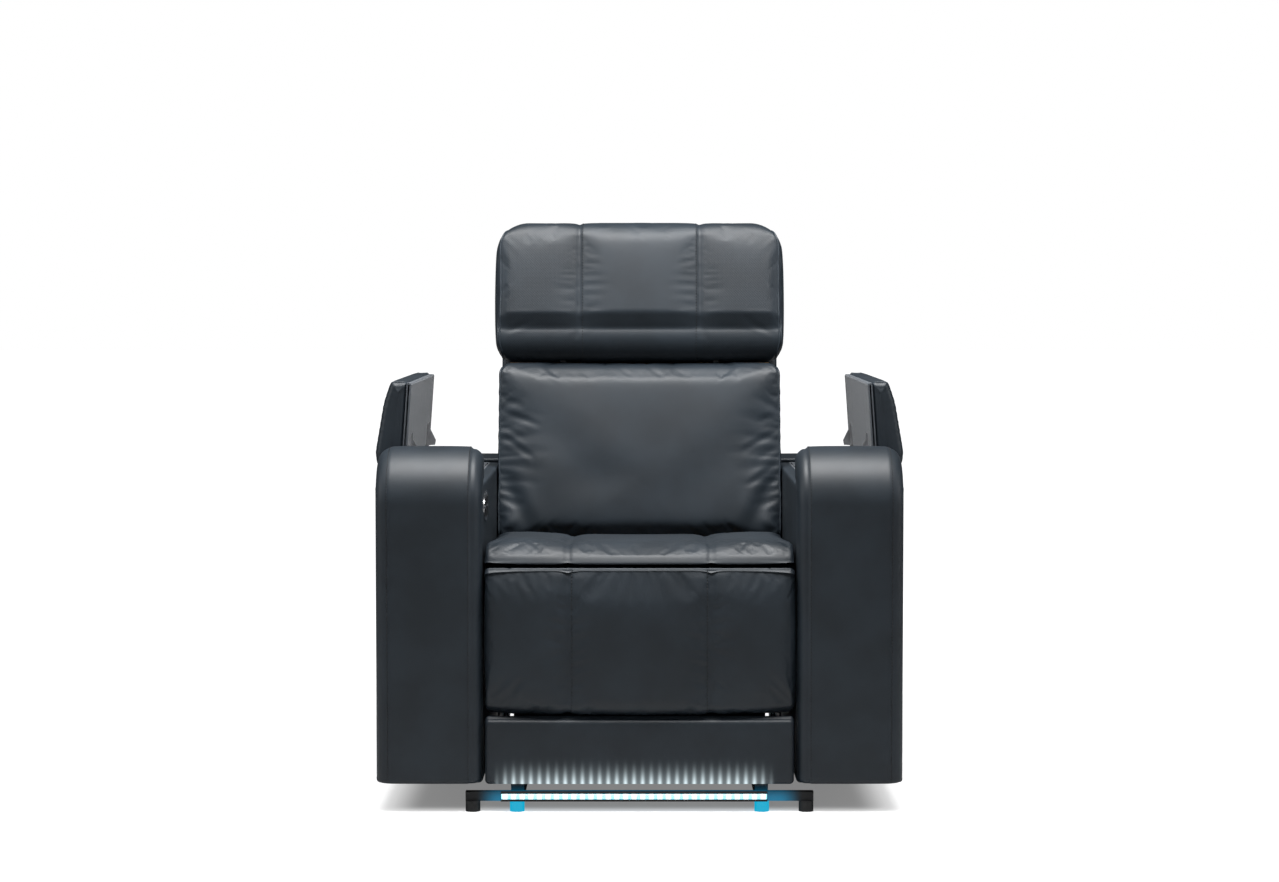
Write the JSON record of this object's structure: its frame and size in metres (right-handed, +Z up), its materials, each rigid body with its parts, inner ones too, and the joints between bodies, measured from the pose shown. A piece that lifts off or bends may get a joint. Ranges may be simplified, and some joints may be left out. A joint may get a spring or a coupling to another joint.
{
  "type": "cinema recliner seat",
  "caption": "Powered cinema recliner seat with folding footrest, tilting headrest, two hinged storage arms and a floor light strip.",
  "frame": {"origin": "on the floor under the middle of the chair", "axes": "+Z up, front faces -Y, +X to the right as seen from the front"},
  "size_m": [0.986, 0.9, 1.0938],
  "materials": {
    "leather": "semi-matt dark slate leather",
    "lining": "pleated lining",
    "bright_steel": "bright zinc",
    "black_steel": "black powder coat",
    "zinc_steel": "zinc",
    "board": "bare plywood",
    "webbing": "black woven webbing",
    "black_plastic": "moulded",
    "chrome_plate": "polished",
    "button_black": "satin",
    "light_chip": "cold white light source"
  },
  "bodies": {
    "root": {"arm_spacers": "black_steel", "back_posts": "black_steel", "base_rails": "black_steel", "control_plate": "chrome_plate", "cross_tubes": "black_steel", "drive_motor": "black_plastic", "drive_rail": "black_steel", "fixed_pins": "zinc_steel", "front_bar": "black_steel", "glide_feet": "black_plastic", "hinge_stems": "bright_steel", "kick_panel": "leather", "kick_panel_brackets": "black_steel", "left_arm_front_pad": "leather", "left_arm_inner_panel": "leather", "left_arm_outer_panel": "leather", "left_arm_rear_cap": "leather", "left_arm_rear_wall": "leather", "left_storage_box": "lining", "light_channel": "black_plastic", "light_chips": "light_chip", "rear_bar": "black_steel", "right_arm_front_pad": "leather", "right_arm_inner_panel": "leather", "right_arm_outer_panel": "leather", "right_arm_rear_cap": "leather", "right_arm_rear_wall": "leather", "right_storage_box": "lining", "seat_cross_rails": "board", "seat_cushion": "leather", "seat_side_rails": "board", "seat_webbing": "webbing", "side_plates": "black_steel", "switch_module": "black_plastic"},
    "back": {"back_cushion": "leather", "back_board": "board", "back_shell": "leather", "back_brackets": "black_steel", "headrest_carriers": "black_steel"},
    "headrest": {"headrest_pad": "leather", "headrest_board": "board"},
    "main_links": {"main_links": "black_steel", "knee_pins": "zinc_steel"},
    "toggle_links": {"toggle_links": "black_steel", "footrest_pins": "zinc_steel"},
    "footrest": {"footrest_pad": "leather", "footrest_board": "board", "footrest_brackets": "black_steel"},
    "left_lid": {"left_lid_pad": "leather", "left_lid_board": "lining", "left_hinge_leaves": "bright_steel"},
    "right_lid": {"right_lid_pad": "leather", "right_lid_board": "lining", "right_hinge_leaves": "bright_steel"},
    "drive_carriage": {"drive_carriage": "black_plastic"},
    "button_head_forward": {"button_head_forward": "button_black"},
    "button_head_back": {"button_head_back": "button_black"},
    "button_recline": {"button_recline": "button_black"},
    "button_upright": {"button_upright": "button_black"}
  },
  "joints": [
    {"name": "back_recline", "type": "hinge", "parent": "root", "child": "back", "pos_m": [0, 0.125, 0.4], "axis": [-1, 0, 0], "range_deg": [0, 45]},
    {"name": "headrest_tilt", "type": "hinge", "parent": "back", "child": "headrest", "pos_m": [0, 0.22586, 0.85908], "axis": [1, 0, 0], "range_deg": [0, 35]},
    {"name": "footrest_fold", "type": "hinge", "parent": "root", "child": "main_links", "pos_m": [0, -0.33, 0.335], "axis": [-1, 0, 0], "range_deg": [0, 90]},
    {"name": "knee_fold", "type": "hinge", "parent": "main_links", "child": "toggle_links", "pos_m": [0, -0.31518, 0.16565], "axis": [-1, 0, 0], "range_deg": [-160, 0]},
    {"name": "footrest_turn", "type": "hinge", "parent": "toggle_links", "child": "footrest", "pos_m": [0, -0.3447, 0.33306], "axis": [-1, 0, 0], "range_deg": [0, 160]},
    {"name": "drive_slide", "type": "slide", "parent": "root", "child": "drive_carriage", "axis": [0, -1, 0], "range_m": [0, 0.096]},
    {"name": "left_lid_hinge", "type": "hinge", "parent": "root", "child": "left_lid", "pos_m": [-0.461, 0, 0.628], "axis": [0, 1, 0], "range_deg": [0, 86]},
    {"name": "right_lid_hinge", "type": "hinge", "parent": "root", "child": "right_lid", "pos_m": [0.461, 0, 0.628], "axis": [0, -1, 0], "range_deg": [0, 86]},
    {"name": "press_head_forward", "type": "slide", "parent": "root", "child": "button_head_forward", "axis": [-1, 0, 0], "range_m": [0, 0.0015], "stiffness_N_per_m": 300},
    {"name": "press_head_back", "type": "slide", "parent": "root", "child": "button_head_back", "axis": [-1, 0, 0], "range_m": [0, 0.0015], "stiffness_N_per_m": 300},
    {"name": "press_recline", "type": "slide", "parent": "root", "child": "button_recline", "axis": [-1, 0, 0], "range_m": [0, 0.0015], "stiffness_N_per_m": 300},
    {"name": "press_upright", "type": "slide", "parent": "root", "child": "button_upright", "axis": [-1, 0, 0], "range_m": [0, 0.0015], "stiffness_N_per_m": 300}
  ],
  "couplings": [
    {"joint": "knee_fold", "follows": "footrest_fold", "ratio": -1.7778},
    {"joint": "footrest_turn", "follows": "footrest_fold", "ratio": 1.7778},
    {"joint": "drive_slide", "follows": "footrest_fold", "m_per_rad": 0.061115}
  ]
}
